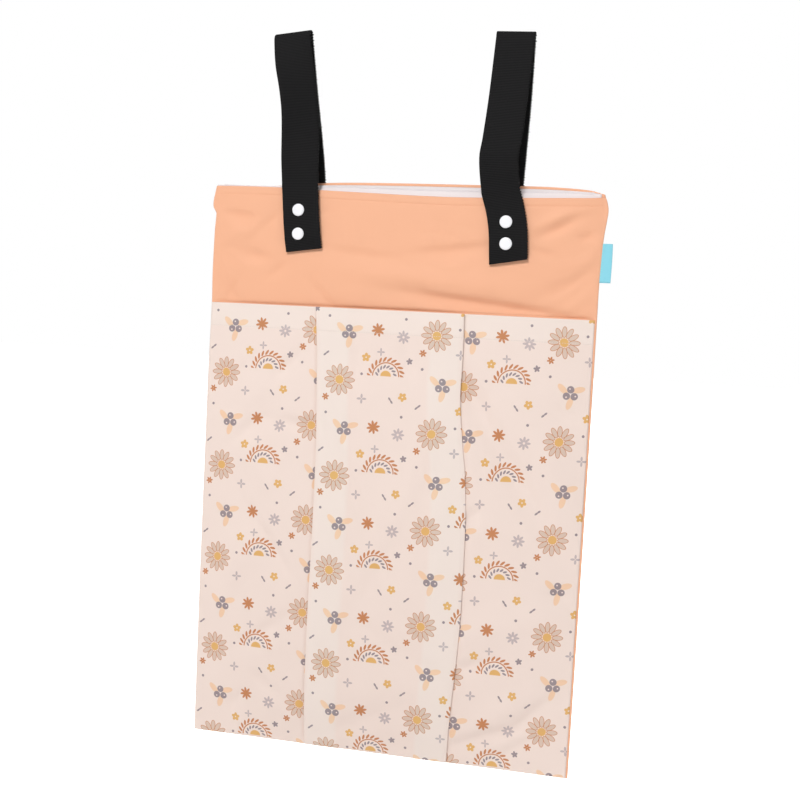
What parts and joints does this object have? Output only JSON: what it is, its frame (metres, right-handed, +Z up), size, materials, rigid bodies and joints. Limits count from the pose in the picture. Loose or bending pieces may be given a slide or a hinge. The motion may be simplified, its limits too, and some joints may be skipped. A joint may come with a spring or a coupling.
{
  "type": "hanging wet bag",
  "caption": "Flat zipped cloth bag that hangs by snap-fastened webbing loops, with a printed, box-pleated pocket over its front.",
  "frame": {"origin": "axis of the rail that passes through both strap loops, above the middle of the bag", "axes": "+X along the rail, to the right as seen from the front; -Y is the front with the pocket; +Z up"},
  "size_m": [0.4116, 0.0337, 0.7409],
  "materials": {
    "body_cloth": "smooth peach polyester knit with a waterproof film behind",
    "printed_cloth": "smooth cream knit with a small print",
    "webbing": "matt black ribbed webbing",
    "zip_tape": "white woven zip tape",
    "zip_plastic": "white coil and slider",
    "snap_plastic": "glossy white resin snap",
    "tag_ribbon": "satin turquoise ribbon"
  },
  "bodies": {
    "root": {"front_panel": "body_cloth", "back_panel": "body_cloth", "pocket_panel": "printed_cloth", "zip_tape_front": "zip_tape", "zip_tape_back": "zip_tape", "zip_coil": "zip_plastic", "zip_slider": "zip_plastic", "zip_pull": "zip_plastic", "strap_left": "webbing", "strap_right": "webbing", "snap_cap_1": "snap_plastic", "snap_cap_2": "snap_plastic", "snap_cap_3": "snap_plastic", "snap_cap_4": "snap_plastic", "snap_stud_1": "snap_plastic", "snap_stud_2": "snap_plastic", "snap_stud_3": "snap_plastic", "snap_stud_4": "snap_plastic", "side_tag": "tag_ribbon"}
  },
  "joints": []
}
